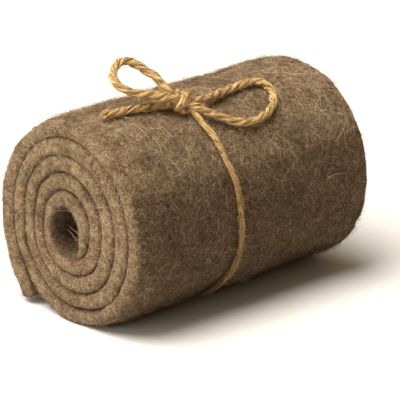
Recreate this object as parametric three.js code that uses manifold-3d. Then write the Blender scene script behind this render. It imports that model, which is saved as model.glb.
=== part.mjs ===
// A roll of thick wool felt, tied round the middle with jute twine in a bow.
// Millimetres, +Z up. X runs along the roll, and the origin is on the floor under the roll's middle.
// Angles are in degrees round the winding centre, from +Y (left, seen from the open end) towards +Z (top).
import * as THREE from 'three';
import { mergeVertices } from 'three/addons/utils/BufferGeometryUtils.js';
import Module from 'manifold-3d';

// Felt: sizes along and through the strip
const ROLL_LENGTH = 117.6;
const FELT_THICKNESS = 6.3;
const TURN_GAP = 0.7;
const EDGE_ROUND = { inset: 1.4, depth: 2.2, leastHalf: 0.6 };
const EDGE_WANDER = [{ size: 0.5, perTurn: 0.7 }, { size: 0.3, perTurn: 1.3 }];
const UNEVEN = [{ size: 0.35, along: 17, round: 2 }, { size: 0.2, along: 9, round: -3 }];
const STEP = 15;
const WINDING_CENTRE = { y: 4, z: 36.5 };

// How far each seam lies from the winding centre, a row for each turn from the outside in.
// The first row is the outside of the roll and the last is the edge of its hollow core. The columns are
// compass points on the open end, with the top as north.
const DIRECTION_STEP = 45;
const SEAMS = [
  { w: 37.2, nw: 39.7, n: 43.5, ne: 45.1, e: 43.3, se: 39.9, s: 37.9, sw: 32.8 },
  { w: 30.8, nw: 33.1, n: 36.3, ne: 37.3, e: 34.8, se: 33.0, s: 30.2, sw: 26.8 },
  { w: 24.2, nw: 26.6, n: 29.5, ne: 29.8, e: 27.2, se: 26.2, s: 23.8, sw: 20.8 },
  { w: 18.2, nw: 20.5, n: 22.8, ne: 22.6, e: 20.0, se: 19.4, s: 17.2, sw: 14.9 },
  { w: 12.7, nw: 14.3, n: 15.7, ne: 15.0, e: 13.0, se: 12.6, s: 11.0, sw: 9.6 },
  { w: 8.2, nw: 8.3, n: 8.9, ne: 7.5, e: 6.8, se: 7.2, s: 7.6, sw: 7.6 },
];

// The strip's free end hangs off the roll at the lower left, most at the open end, where no twine holds it
const FLAP = { endAngle: -57, lift: 3.2, skew: 5.7, thinner: 1.2, heldWithin: 14, farShare: 0.5 };
// The inner end of the strip thins out where it lies on the turn below it
const INNER_END = { angle: 4 * 360 + 240, taperFrom: 4 * 360 + 195, thinnest: 2.2 };

// Twine: three plies, and how it lies in the felt
const TWINE = { radius: 1.5, valley: 1.05, lay: 15, step: 1.9 };
const WAIST = { x: -8.4, depth: 1.2, reach: 9 };
const GROOVE = { stations: [-10.6, -5.8], clearance: 0.6 };

// The twine's route round the roll, from the front of the knot to the back of it
const BAND_ROUTE = [
  { angle: 118, radius: 46.3, x: -12.1 },
  { angle: 135, radius: 46.2, x: -11.4 },
  { angle: 157, radius: 45.5, x: -9.8 },
  { angle: 180, radius: 44.1, x: -8.9 },
  { angle: 202, radius: 42.5, x: -8.0 },
  { angle: 225, radius: 40.3, x: -7.9 },
  { angle: 240, radius: 38.7, x: -8.0 },
  { angle: 250, radius: 37.0, x: -8.1 },
  { angle: 270, radius: 34.9, x: -8.2 },
  { angle: 290, radius: 37.1, x: -8.2 },
  { angle: 300, radius: 39.8, x: -8.2 },
  { angle: 304, radius: 40.9, x: -8.2 },
  { angle: 315, radius: 40.7, x: -8.3 },
  { angle: 330, radius: 39.5, x: -8.4 },
  { angle: 345, radius: 38.5, x: -8.5 },
  { angle: 360, radius: 38.0, x: -8.7 },
  { angle: 382, radius: 39.0, x: -9.2 },
  { angle: 405, radius: 40.6, x: -9.9 },
  { angle: 427, radius: 42.7, x: -11.0 },
  { angle: 450, radius: 44.7, x: -12.6 },
  { angle: 465, radius: 46.2, x: -14.1 },
];

// The bow: routes as they lie, each from the knot outwards
const KNOT = { x: -14.8, y: -13.1, z: 81.8, lean: 18, ringRadius: 3.0, core: { x: 4.1, y: 3.2, z: 2.8 } };
const STUB = { length: 3.4, radius: 1.2, tilt: 35 };
const LEFT_LOOP_ROUTE = [
  [-18.2, -8.8, 86.0], [-18.7, -6.3, 88.0], [-19.3, -3.9, 89.8], [-20.5, -1.6, 91.4], [-22.4, 1.3, 93.6],
  [-24.7, 3.5, 95.3], [-27.6, 4.7, 96.3], [-31.4, 4.2, 95.9], [-34.7, 2.6, 94.7], [-36.9, 0.6, 93.1],
  [-37.5, -1.5, 91.5], [-36.7, -3.7, 89.9], [-34.7, -5.5, 88.5], [-31.2, -7.5, 87.2], [-27.6, -9.1, 86.1],
  [-23.8, -10.9, 85.2], [-20.2, -12.7, 84.2],
];
const RIGHT_LOOP_ROUTE = [
  [-10.3, -14.2, 81.1], [-6.0, -14.4, 80.9], [-0.2, -13.8, 80.4], [6.6, -12.2, 80.3], [13.0, -11.5, 80.4],
  [19.3, -10.8, 80.5], [24.6, -11.0, 80.5], [27.4, -13.4, 79.7], [27.8, -17.0, 78.2], [25.8, -20.8, 76.1],
  [22.4, -23.7, 74.3], [17.6, -25.8, 72.8], [11.8, -26.9, 72.0], [6.3, -26.8, 72.2], [1.4, -25.6, 73.2],
  [-2.2, -23.8, 74.8], [-5.8, -21.9, 76.6], [-9.4, -19.1, 78.8],
];
const FREE_END_ROUTE = [
  [-18.6, -10.9, 81.5], [-21.6, -9.6, 81.3], [-24.9, -8.8, 81.3], [-28.0, -8.2, 81.3], [-31.1, -7.9, 81.4],
  [-35.5, -7.3, 81.7], [-39.0, -7.0, 81.9], [-42.1, -6.9, 82.1], [-45.2, -6.8, 82.2], [-48.4, -6.6, 82.3],
];

const FELT_LOOK = new THREE.MeshStandardMaterial({ color: 0x8d7459, roughness: 0.95, metalness: 0 });
const TWINE_LOOK = new THREE.MeshStandardMaterial({ color: 0xc09a62, roughness: 0.85, metalness: 0 });

const radians = THREE.MathUtils.degToRad;
const group = new THREE.Group();

function addPiece(name, geometry, look) {
  const mesh = new THREE.Mesh(geometry, look);
  mesh.name = name;
  group.add(mesh);
}

function placeRoundRoll(x, angle, radius) {
  const turned = radians(angle);
  const y = WINDING_CENTRE.y + radius * Math.cos(turned);
  const z = WINDING_CENTRE.z + radius * Math.sin(turned);
  return new THREE.Vector3(x, y, z);
}

function smoothCurve(points) {
  return new THREE.CatmullRomCurve3(points, false, 'centripetal');
}

// The seams as one spiral line: its angle grows through all the turns as its radius shrinks
const seamRadii = SEAMS.flatMap((turn) => Object.values(turn));
const seamLine = new THREE.SplineCurve(
  seamRadii.map((radius, index) => new THREE.Vector2(index * DIRECTION_STEP, radius)),
);
function seamRadius(angle) {
  return seamLine.getPoint(angle / ((seamRadii.length - 1) * DIRECTION_STEP)).y;
}

// The twine's route in space, and how far from the winding centre it passes at an angle of the roll
const bandCurve = smoothCurve(BAND_ROUTE.map(({ x, angle, radius }) => placeRoundRoll(x, angle, radius)));
const bandPlaces = bandCurve.getSpacedPoints(360).map(({ y, z }) => {
  const turned = Math.atan2(z - WINDING_CENTRE.z, y - WINDING_CENTRE.y);
  const radius = Math.hypot(z - WINDING_CENTRE.z, y - WINDING_CENTRE.y);
  return { angle: (THREE.MathUtils.radToDeg(turned) + 360) % 360, radius };
});
function bandRadius(angle) {
  const offBy = (place) => Math.abs(((place.angle - angle + 540) % 360) - 180);
  return bandPlaces.reduce((best, place) => (offBy(place) < offBy(best) ? place : best)).radius;
}

// The outermost turn is uneven along the roll, drawn in at the waist and grooved where the twine passes
function pressOutside(angle, radius, x) {
  const fromBand = (x - WAIST.x) / WAIST.reach;
  const tied = Math.exp(-fromBand * fromBand);
  let loose = radius - WAIST.depth * tied;
  for (const { size, along, round } of UNEVEN) {
    loose += (1 - tied) * size * Math.sin(x / along + radians(round * angle));
  }
  if (!GROOVE.stations.includes(x)) return loose;
  return Math.min(loose, bandRadius(angle) - TWINE.radius - GROOVE.clearance);
}

// How far the free end stands off the turn under it: not at all where the twine holds it down
function flapShare(x) {
  const away = Math.max(0, Math.abs(x - WAIST.x) - FLAP.heldWithin);
  const reach = ROLL_LENGTH / 2 - FLAP.heldWithin - Math.abs(WAIST.x);
  const share = Math.min(1, away / reach) ** 2;
  return x < WAIST.x ? share : share * FLAP.farShare;
}

// The two sides of the strip at one place of the winding: its outer and inner surface
function stripSides(angle, x, inset) {
  const under = seamRadius(angle + 360) + TURN_GAP / 2;
  if (angle < 0) {
    const bent = (angle / FLAP.endAngle) ** 2;
    const inner = under + FLAP.lift * bent * flapShare(x);
    const outerAngle = angle + FLAP.skew * bent;
    const outer = pressOutside(outerAngle, inner + FELT_THICKNESS - FLAP.thinner * bent, x);
    return [{ angle: outerAngle, radius: outer - inset }, { angle, radius: inner + inset }];
  }
  const onOutside = angle < 300;
  const outer = onOutside ? pressOutside(angle, seamRadius(angle), x) : seamRadius(angle) - TURN_GAP / 2;
  const taper = (angle - INNER_END.taperFrom) / (INNER_END.angle - INNER_END.taperFrom);
  const fade = THREE.MathUtils.clamp(taper, 0, 1);
  const inner = THREE.MathUtils.lerp(under, outer - INNER_END.thinnest, fade);
  const squeezed = Math.min(inset, (outer - inner) / 2 - EDGE_ROUND.leastHalf);
  return [{ angle, radius: outer - squeezed }, { angle, radius: inner + squeezed }];
}

// The cut edges at the two ends of the roll are not quite level from turn to turn
function edgeWander(angle) {
  return EDGE_WANDER.reduce((sum, { size, perTurn }) => sum + size * Math.sin(radians(angle * perTurn)), 0);
}

function makeFelt() {
  const half = ROLL_LENGTH / 2;
  const stations = [
    { x: -half, inset: EDGE_ROUND.inset, wander: 1 },
    { x: -half + EDGE_ROUND.depth, inset: 0, wander: 1 },
    ...[-46, -31, -19, -12.4, ...GROOVE.stations, -4, 3, 20, 38].map((x) => ({ x, inset: 0, wander: 0 })),
    { x: half - EDGE_ROUND.depth, inset: 0, wander: 1 },
    { x: half, inset: EDGE_ROUND.inset, wander: 1 },
  ];
  const angles = [FLAP.endAngle];
  for (let angle = -3 * STEP; angle <= INNER_END.angle; angle += STEP) {
    angles.push(angle);
  }
  const points = [];
  for (const { x, inset, wander } of stations) {
    const outerSide = [];
    const innerSide = [];
    for (const angle of angles) {
      const [outer, inner] = stripSides(angle, x, inset);
      const along = x + wander * edgeWander(angle);
      outerSide.push(placeRoundRoll(along, outer.angle, outer.radius));
      innerSide.push(placeRoundRoll(along, inner.angle, inner.radius));
    }
    points.push(...outerSide, ...innerSide.reverse());
  }
  points.forEach((point) => point.setZ(Math.max(point.z, 0)));

  const ringSize = 2 * angles.length;
  const faces = [];
  for (let station = 0; station < stations.length - 1; station += 1) {
    for (let index = 0; index < ringSize; index += 1) {
      const here = station * ringSize + index;
      const next = station * ringSize + ((index + 1) % ringSize);
      faces.push(here, next, here + ringSize, next, next + ringSize, here + ringSize);
    }
  }
  const lastRing = (stations.length - 1) * ringSize;
  for (let index = 0; index < angles.length - 1; index += 1) {
    const across = ringSize - 1 - index;
    faces.push(index, across, index + 1, index + 1, across, across - 1);
    faces.push(lastRing + index, lastRing + index + 1, lastRing + across);
    faces.push(lastRing + index + 1, lastRing + across - 1, lastRing + across);
  }
  const geometry = new THREE.BufferGeometry().setFromPoints(points);
  geometry.setIndex(faces);
  return geometry;
}

// A length of three-ply twine: a straight three-lobed bar, then twisted and bent onto its route
function makeTwine(curve) {
  const lobes = [];
  for (let corner = 0; corner < 9; corner += 1) {
    const radius = corner % 3 === 0 ? TWINE.valley : TWINE.radius;
    const turned = radians(40 * corner);
    lobes.push(new THREE.Vector2(radius * Math.cos(turned), radius * Math.sin(turned)));
  }
  const length = curve.getLength();
  const steps = Math.round(length / TWINE.step);
  const section = new THREE.Shape(lobes);
  const bar = new THREE.ExtrudeGeometry(section, { depth: length, steps, bevelEnabled: false });
  const frames = curve.computeFrenetFrames(steps);
  const places = bar.attributes.position;
  for (let index = 0; index < places.count; index += 1) {
    const along = places.getZ(index) / length;
    const ring = Math.round(along * steps);
    const twist = (2 * Math.PI * places.getZ(index)) / TWINE.lay;
    const across = new THREE.Vector2(places.getX(index), places.getY(index));
    across.rotateAround(new THREE.Vector2(), twist);
    const point = curve.getPointAt(ring / steps);
    point.addScaledVector(frames.normals[ring], across.x).addScaledVector(frames.binormals[ring], across.y);
    places.setXYZ(index, point.x, point.y, point.z);
  }
  return bar;
}

function asSolid(wasm, geometry) {
  geometry.deleteAttribute('normal');
  geometry.deleteAttribute('uv');
  const merged = mergeVertices(geometry, 1e-4);
  return new wasm.Manifold(new wasm.Mesh({
    numProp: 3,
    vertProperties: new Float32Array(merged.attributes.position.array),
    triVerts: new Uint32Array(merged.index.array),
  }));
}

function asGeometry(solid) {
  const mesh = solid.getMesh();
  const geometry = new THREE.BufferGeometry();
  geometry.setAttribute('position', new THREE.BufferAttribute(mesh.vertProperties, 3));
  geometry.setIndex(new THREE.BufferAttribute(mesh.triVerts, 1));
  return geometry;
}

// The knot: one wrap of twine round the roots of the bow, with the short cut end standing up behind it
function makeKnot(wasm) {
  const wrap = new THREE.TorusGeometry(KNOT.ringRadius, TWINE.radius, 10, 20);
  wrap.rotateY(Math.PI / 2);
  const core = new THREE.SphereGeometry(1, 16, 12);
  core.scale(KNOT.core.x, KNOT.core.y, KNOT.core.z);
  const stub = new THREE.CylinderGeometry(STUB.radius * 0.8, STUB.radius, STUB.length, 8);
  stub.translate(0, KNOT.ringRadius + STUB.length / 2, 0);
  stub.rotateX(radians(90 - STUB.tilt));
  const knot = asGeometry(asSolid(wasm, wrap).add(asSolid(wasm, core)).add(asSolid(wasm, stub)));
  knot.rotateZ(radians(KNOT.lean));
  knot.translate(KNOT.x, KNOT.y, KNOT.z);
  return knot;
}

const wasm = await Module();
wasm.setup();

addPiece('felt_roll', makeFelt(), FELT_LOOK);

addPiece('twine_band', makeTwine(bandCurve), TWINE_LOOK);
addPiece('twine_knot', makeKnot(wasm), TWINE_LOOK);
const bowRoutes = {
  bow_loop_left: LEFT_LOOP_ROUTE,
  bow_loop_right: RIGHT_LOOP_ROUTE,
  twine_end: FREE_END_ROUTE,
};
for (const [name, route] of Object.entries(bowRoutes)) {
  const curve = smoothCurve(route.map((place) => new THREE.Vector3(...place)));
  addPiece(name, makeTwine(curve), TWINE_LOOK);
}

export default group;
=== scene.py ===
# %% [markdown]
# A roll of felt tied with jute twine
#
# The real object is a strip of thick brown wool felt, rolled up loosely and tied round its middle
# with three-ply jute twine in a bow. The roll's solids are already placed, so everything here is
# built round them, in metres: the roll lies along X and stands on the plane z = 0.

# %% Load the frame
import math

import bmesh
import bpy
import numpy as np
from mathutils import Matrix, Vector, noise


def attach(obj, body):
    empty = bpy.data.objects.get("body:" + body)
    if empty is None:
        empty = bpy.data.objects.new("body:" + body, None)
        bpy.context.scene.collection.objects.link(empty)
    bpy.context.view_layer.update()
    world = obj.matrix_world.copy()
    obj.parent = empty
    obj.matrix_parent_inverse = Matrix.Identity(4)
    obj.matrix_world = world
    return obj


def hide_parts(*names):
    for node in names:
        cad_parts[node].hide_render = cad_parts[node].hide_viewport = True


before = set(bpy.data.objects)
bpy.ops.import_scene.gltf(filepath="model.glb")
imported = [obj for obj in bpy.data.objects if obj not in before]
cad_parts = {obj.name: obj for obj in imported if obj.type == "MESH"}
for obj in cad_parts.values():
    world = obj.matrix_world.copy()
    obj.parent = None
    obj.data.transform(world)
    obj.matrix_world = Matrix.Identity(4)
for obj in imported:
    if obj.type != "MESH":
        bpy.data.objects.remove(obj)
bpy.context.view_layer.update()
FULL_TURN = 360.0
print("solids:", sorted(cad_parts))

# %% [markdown]
# The camera
#
# A long lens from a metre away keeps the roll's two ends nearly parallel, as a product photograph
# does. The camera is placed by an azimuth and an elevation round a target, which is easier to
# correct than a bare position: one number turns the view and another tips it.

# %% Place the camera
VIEW_AZIMUTH = math.radians(-42.95)
VIEW_ELEVATION = math.radians(20.36)
VIEW_DISTANCE = 1.1036
VIEW_TARGET = Vector((0.002555, -0.004608, 0.035603))
LENS = 257.03
SENSOR_WIDTH = 36.0


def add_object(name, data):
    """A new object of the scene, at the origin."""
    made = bpy.data.objects.new(name, data)
    bpy.context.scene.collection.objects.link(made)
    return made


towards_camera = Vector((
    math.sin(VIEW_AZIMUTH) * math.cos(VIEW_ELEVATION),
    -math.cos(VIEW_AZIMUTH) * math.cos(VIEW_ELEVATION),
    math.sin(VIEW_ELEVATION),
))
camera_data = bpy.data.cameras.new("camera")
camera_data.sensor_width = SENSOR_WIDTH
camera_data.lens = LENS
camera_data.clip_start = 0.01
camera_data.clip_end = 20
camera = add_object("camera", camera_data)
camera.location = VIEW_TARGET + towards_camera * VIEW_DISTANCE
camera.rotation_mode = "QUATERNION"
camera.rotation_quaternion = (-towards_camera).to_track_quat("-Z", "Y")
bpy.context.scene.camera = camera
print("camera at", [round(value, 4) for value in camera.location])

# %% [markdown]
# The routes of the twine
#
# A cord is settled before it is drawn: where it leaves the knot, how it bends and how long it is.
# Each free stretch of the twine is a short list of places, and a Catmull-Rom curve is laid through
# them. The centripetal kind is used because it never overshoots between points that lie close.

# %% Routes through space
TWINE_DIAMETER = 0.0030
LINE_SPACING = 0.0004
STEPS_BETWEEN_PLACES = 24
LEFT_LOOP_ROUTE = [
    (-0.0182, -0.0088, 0.0860), (-0.0187, -0.0063, 0.0880), (-0.0193, -0.0039, 0.0898),
    (-0.0205, -0.0016, 0.0914), (-0.0224, 0.0013, 0.0936), (-0.0247, 0.0035, 0.0953),
    (-0.0276, 0.0047, 0.0963), (-0.0314, 0.0042, 0.0959), (-0.0347, 0.0026, 0.0947),
    (-0.0369, 0.0006, 0.0931), (-0.0375, -0.0015, 0.0915), (-0.0367, -0.0037, 0.0899),
    (-0.0347, -0.0055, 0.0885), (-0.0312, -0.0075, 0.0872), (-0.0276, -0.0091, 0.0861),
    (-0.0238, -0.0109, 0.0852), (-0.0202, -0.0127, 0.0842),
]
RIGHT_LOOP_ROUTE = [
    (-0.0103, -0.0142, 0.0811), (-0.0060, -0.0144, 0.0809), (-0.0002, -0.0138, 0.0804),
    (0.0066, -0.0122, 0.0803), (0.0130, -0.0115, 0.0804), (0.0193, -0.0108, 0.0805),
    (0.0246, -0.0110, 0.0805), (0.0274, -0.0134, 0.0797), (0.0278, -0.0170, 0.0782),
    (0.0258, -0.0208, 0.0761), (0.0224, -0.0237, 0.0743), (0.0176, -0.0258, 0.0728),
    (0.0118, -0.0269, 0.0720), (0.0063, -0.0268, 0.0722), (0.0014, -0.0256, 0.0732),
    (-0.0022, -0.0238, 0.0748), (-0.0058, -0.0219, 0.0766), (-0.0094, -0.0191, 0.0788),
]
FREE_END_ROUTE = [
    (-0.0165, -0.0115, 0.0816), (-0.0186, -0.0109, 0.0815), (-0.0216, -0.0096, 0.0813),
    (-0.0249, -0.0088, 0.0813), (-0.0280, -0.0082, 0.0813), (-0.0311, -0.0079, 0.0814),
    (-0.0355, -0.0073, 0.0817), (-0.0390, -0.0070, 0.0819), (-0.0421, -0.0069, 0.0821),
    (-0.0452, -0.0068, 0.0822), (-0.0484, -0.0066, 0.0823),
]


def smooth_line(places):
    """Evenly spaced points on a centripetal Catmull-Rom curve through the places."""
    points = [np.array(place, float) for place in places]
    points = [2 * points[0] - points[1], *points, 2 * points[-1] - points[-2]]
    line = []
    for p0, p1, p2, p3 in zip(points, points[1:], points[2:], points[3:]):
        t1 = np.linalg.norm(p1 - p0) ** 0.5
        t2 = t1 + np.linalg.norm(p2 - p1) ** 0.5
        t3 = t2 + np.linalg.norm(p3 - p2) ** 0.5
        t = np.linspace(t1, t2, STEPS_BETWEEN_PLACES, endpoint=False)[:, None]
        a1 = (t1 - t) / t1 * p0 + t / t1 * p1
        a2 = (t2 - t) / (t2 - t1) * p1 + (t - t1) / (t2 - t1) * p2
        a3 = (t3 - t) / (t3 - t2) * p2 + (t - t2) / (t3 - t2) * p3
        b1 = (t2 - t) / t2 * a1 + t / t2 * a2
        b2 = (t3 - t) / (t3 - t1) * a2 + (t - t1) / (t3 - t1) * a3
        line.append((t2 - t) / (t2 - t1) * b1 + (t - t1) / (t2 - t1) * b2)
    line = np.vstack([*line, points[-2][None]])
    return spread_evenly(line, LINE_SPACING)


def run_along(line):
    """How far along a line each of its points lies."""
    return np.concatenate([[0], np.cumsum(np.linalg.norm(np.diff(line, axis=0), axis=1))])


def spread_evenly(line, spacing):
    """The same line with its points a given distance apart."""
    run = run_along(line)
    stations = np.linspace(0, run[-1], max(2, round(run[-1] / spacing) + 1))
    return np.stack([np.interp(stations, run, line[:, axis]) for axis in range(3)], axis=1)


def line_length(line):
    """The length of a line."""
    return float(run_along(line)[-1])


free_routes = {"left loop": LEFT_LOOP_ROUTE, "right loop": RIGHT_LOOP_ROUTE, "free end": FREE_END_ROUTE}
for name, route in free_routes.items():
    print(name, round(line_length(smooth_line(route)), 4), "m free of the knot")

# %% [markdown]
# The floor, the window light and the white card
#
# The roll stands on a plain pale floor that runs past the picture on every side. One large soft
# lamp does the work of a window. It hangs high and a little to the left, so the top of the roll is
# bright, its side falls into half shadow, and the shadow on the floor stays short and soft. A
# second lamp, low in front of the open end, does the work of a white card and lights the cut felt.
# A weak warm world fills in what is left, because light that comes back off brown wool is warm.

# %% Floor and lights
FLOOR_HALF = 3.0
KEY_DIRECTION = Vector((-0.38, 0.12, 0.92)).normalized()
KEY_DISTANCE = 1.6
KEY_SIZE = 1.5
KEY_POWER = 62.0
CARD_DIRECTION = Vector((-0.92, 0.10, 0.13)).normalized()
CARD_DISTANCE = 1.2
CARD_SIZE = 0.9
CARD_POWER = 10.6
FILL_STRENGTH = 0.22
FILL_COLOUR = (1.0, 0.78, 0.49, 1)
LAMP_COLOUR = (1.0, 0.985, 0.96)
FLOOR_COLOUR = (0.74, 0.71, 0.67, 1)

floor_mesh = bpy.data.meshes.new("floor")
bm = bmesh.new()
bmesh.ops.create_grid(bm, x_segments=1, y_segments=1, size=FLOOR_HALF)
bm.to_mesh(floor_mesh)
bm.free()
floor = add_object("floor", floor_mesh)
floor_look = bpy.data.materials.new("pale floor")
floor_look.use_nodes = True
floor_shader = floor_look.node_tree.nodes["Principled BSDF"]
floor_shader.inputs["Base Color"].default_value = FLOOR_COLOUR
floor_shader.inputs["Roughness"].default_value = 0.9
floor_shader.inputs["Specular IOR Level"].default_value = 0.1
floor_mesh.materials.append(floor_look)


def hang_lamp(name, direction, distance, size, power):
    """A round soft lamp that faces the roll from a direction."""
    lamp_data = bpy.data.lights.new(name, "AREA")
    lamp_data.shape = "DISK"
    lamp_data.size = size
    lamp_data.energy = power
    lamp_data.color = LAMP_COLOUR
    lamp = add_object(name, lamp_data)
    lamp.location = direction * distance
    lamp.rotation_mode = "QUATERNION"
    lamp.rotation_quaternion = direction.to_track_quat("Z", "Y")


hang_lamp("window light", KEY_DIRECTION, KEY_DISTANCE, KEY_SIZE, KEY_POWER)
hang_lamp("white card", CARD_DIRECTION, CARD_DISTANCE, CARD_SIZE, CARD_POWER)

world = bpy.data.worlds.new("warm room")
world.use_nodes = True
world.node_tree.nodes["Background"].inputs["Color"].default_value = FILL_COLOUR
world.node_tree.nodes["Background"].inputs["Strength"].default_value = FILL_STRENGTH
bpy.context.scene.world = world
bpy.context.scene.view_settings.view_transform = "Standard"
print("window light", KEY_POWER, "W, white card", CARD_POWER, "W, fill", FILL_STRENGTH)

# %% [markdown]
# How the strip winds
#
# A roll is one long strip in a spiral. Looking at the end that faces the camera, the seam between
# the turns is measured from one winding centre in eight compass directions, one row for each turn
# from the outside in. A curve through these radii gives the seam at any angle, and the strip lies
# between the seam at one angle and the same seam a full turn later. A formula for a perfect
# spiral would be shorter, but a hand-rolled one is egg-shaped and its core is off the middle.

# %% Seam radii of the spiral
WINDING_CENTRE_Y = 0.0040
WINDING_CENTRE_Z = 0.0365
DIRECTION_STEP = 45
SEAMS = [
    dict(w=0.0372, nw=0.0397, n=0.0435, ne=0.0451, e=0.0433, se=0.0399, s=0.0379, sw=0.0328),
    dict(w=0.0308, nw=0.0331, n=0.0363, ne=0.0373, e=0.0348, se=0.0330, s=0.0302, sw=0.0268),
    dict(w=0.0242, nw=0.0266, n=0.0295, ne=0.0298, e=0.0272, se=0.0262, s=0.0238, sw=0.0208),
    dict(w=0.0182, nw=0.0205, n=0.0228, ne=0.0226, e=0.0200, se=0.0194, s=0.0172, sw=0.0149),
    dict(w=0.0127, nw=0.0143, n=0.0157, ne=0.0150, e=0.0130, se=0.0126, s=0.0110, sw=0.0096),
    dict(w=0.0082, nw=0.0083, n=0.0089, ne=0.0075, e=0.0068, se=0.0072, s=0.0076, sw=0.0076),
]
seam_radii = np.array([radius for turn in SEAMS for radius in turn.values()])


def seam_radius(angle):
    """Radius of the seam line at an angle in degrees that grows through all the turns."""
    step = np.clip(np.asarray(angle, float) / DIRECTION_STEP, 0, len(seam_radii) - 1.001)
    index = np.floor(step).astype(int)
    t = step - index
    last = len(seam_radii) - 1
    r0, r1, r2, r3 = (seam_radii[np.clip(index + shift, 0, last)] for shift in (-1, 0, 1, 2))
    bend = 2 * r0 - 5 * r1 + 4 * r2 - r3
    return 0.5 * (2 * r1 + (r2 - r0) * t + bend * t ** 2 + (3 * r1 - r0 - 3 * r2 + r3) * t ** 3)


def place_round_roll(x, angle, radius):
    """Points at angles round the winding centre: 0 is the back, 90 the top, 180 the front."""
    turned = np.radians(angle)
    y = WINDING_CENTRE_Y + radius * np.cos(turned)
    z = WINDING_CENTRE_Z + radius * np.sin(turned)
    return np.stack(np.broadcast_arrays(x, y, z), axis=-1)


print("seam at the top of each turn:", [round(float(seam_radius(90 + 360 * n)), 4) for n in range(5)])

# %% [markdown]
# The band of twine comes before the felt
#
# The twine is tight and the felt is soft, so the felt shows where the twine runs: it is pinched
# into a shallow waist with a groove under the cord. That is why the band's route is settled
# first, as angles and radii round the same winding centre, and the felt then reads it. Each place
# on it is an angle in degrees, a radius and a place along the roll.

# %% Route of the band
BAND_ROUTE = [
    (118, 0.0463, -0.0121), (135, 0.0462, -0.0114), (157, 0.0455, -0.0098), (180, 0.0441, -0.0089),
    (202, 0.0425, -0.0080), (225, 0.0403, -0.0079), (240, 0.0387, -0.0080), (250, 0.0370, -0.0081),
    (270, 0.0349, -0.0082), (290, 0.0371, -0.0082), (300, 0.0398, -0.0082), (304, 0.0409, -0.0082),
    (315, 0.0407, -0.0083), (330, 0.0395, -0.0084), (345, 0.0385, -0.0085), (360, 0.0380, -0.0087),
    (382, 0.0386, -0.0092), (405, 0.0397, -0.0099), (427, 0.0414, -0.0110), (450, 0.0436, -0.0126),
    (465, 0.0456, -0.0141),
]
band_line = smooth_line([place_round_roll(x, angle, radius) for angle, radius, x in BAND_ROUTE])
band_turned = np.degrees(np.unwrap(np.arctan2(
    band_line[:, 2] - WINDING_CENTRE_Z, band_line[:, 1] - WINDING_CENTRE_Y)))
band_turned += BAND_ROUTE[0][0] - band_turned[0]
band_reach = np.hypot(band_line[:, 1] - WINDING_CENTRE_Y, band_line[:, 2] - WINDING_CENTRE_Z)
BAND_START = BAND_ROUTE[0][0]


def band_at(angle):
    """The band's radius and its place along the roll at an angle of the roll."""
    wrapped = (np.asarray(angle, float) - BAND_START) % FULL_TURN + BAND_START
    return np.interp(wrapped, band_turned, band_reach), np.interp(wrapped, band_turned, band_line[:, 0])


print("band:", round(line_length(band_line), 4), "m round the roll")

# %% [markdown]
# The felt strip, cut flat
#
# A flat strip is easy to cut to its real size, so the felt starts as a bmesh grid, 117.6 mm wide
# and as long as the spiral's middle line. Solidify gives it its thickness and a bevel rounds the
# cut edges, which is what makes every turn show as a soft ridge at the end of the roll. The rows
# next to the edges are set back first, to leave the bevel its room.

# %% Cut the strip
ROLL_WIDTH = 0.1176
FELT_THICKNESS = 0.0063
TURN_GAP = 0.00005
FLAP = dict(end_angle=-60.0, joins_from=-25.0, lift=0.0027, skew=5.7, held_within=0.014, far_share=0.5)
INNER_END = dict(angle=4 * 360 + 240.0, taper_from=4 * 360 + 195.0, thinnest=0.0022)
EDGE_BEVEL = 0.0022
EDGE_ROOM = 0.0026
BEVEL_SEGMENTS = 4
LEAST_CUT_ANGLE = 1.2
ALONG_STEP = 0.00155
ACROSS_STEP = 0.0021

winding_angles = np.arange(FLAP["end_angle"], INNER_END["angle"] + 0.5, 1.0)
middle_radii = (seam_radius(np.maximum(winding_angles, 0)) + seam_radius(winding_angles + FULL_TURN)) / 2
middle_line = place_round_roll(0.0, winding_angles, middle_radii)
middle_run = run_along(middle_line)
STRIP_LENGTH = float(middle_run[-1])


def stations_with_edge_room(length, step):
    """Row places from 0 to length, with the first and last rows kept clear of the bevel."""
    count = round((length - 2 * EDGE_ROOM) / step) + 1
    return np.concatenate([[0], np.linspace(EDGE_ROOM, length - EDGE_ROOM, count), [length]])


along_rows = stations_with_edge_room(STRIP_LENGTH, ALONG_STEP)
across_rows = stations_with_edge_room(ROLL_WIDTH, ACROSS_STEP)
strip = bmesh.new()
bmesh.ops.create_grid(strip, x_segments=len(along_rows) - 1, y_segments=len(across_rows) - 1, size=1.0)
for vert in strip.verts:
    row = round((vert.co.x + 1) / 2 * (len(along_rows) - 1))
    column = round((vert.co.y + 1) / 2 * (len(across_rows) - 1))
    vert.co = (along_rows[row], across_rows[column] - ROLL_WIDTH / 2, FELT_THICKNESS / 2)
bmesh.ops.solidify(strip, geom=strip.faces[:], thickness=FELT_THICKNESS)
strip.normal_update()
cut_edges = [edge for edge in strip.edges if edge.calc_face_angle(0.0) > LEAST_CUT_ANGLE]
bmesh.ops.bevel(
    strip, geom=cut_edges, offset=EDGE_BEVEL, segments=BEVEL_SEGMENTS,
    profile=0.5, affect="EDGES", material=-1)
strip_depths = [vert.co.z for vert in strip.verts]
print("strip", round(STRIP_LENGTH, 4), "m long,", len(strip.verts), "vertices,",
      "depth from", round(min(strip_depths), 4), "to", round(max(strip_depths), 4))

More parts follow.
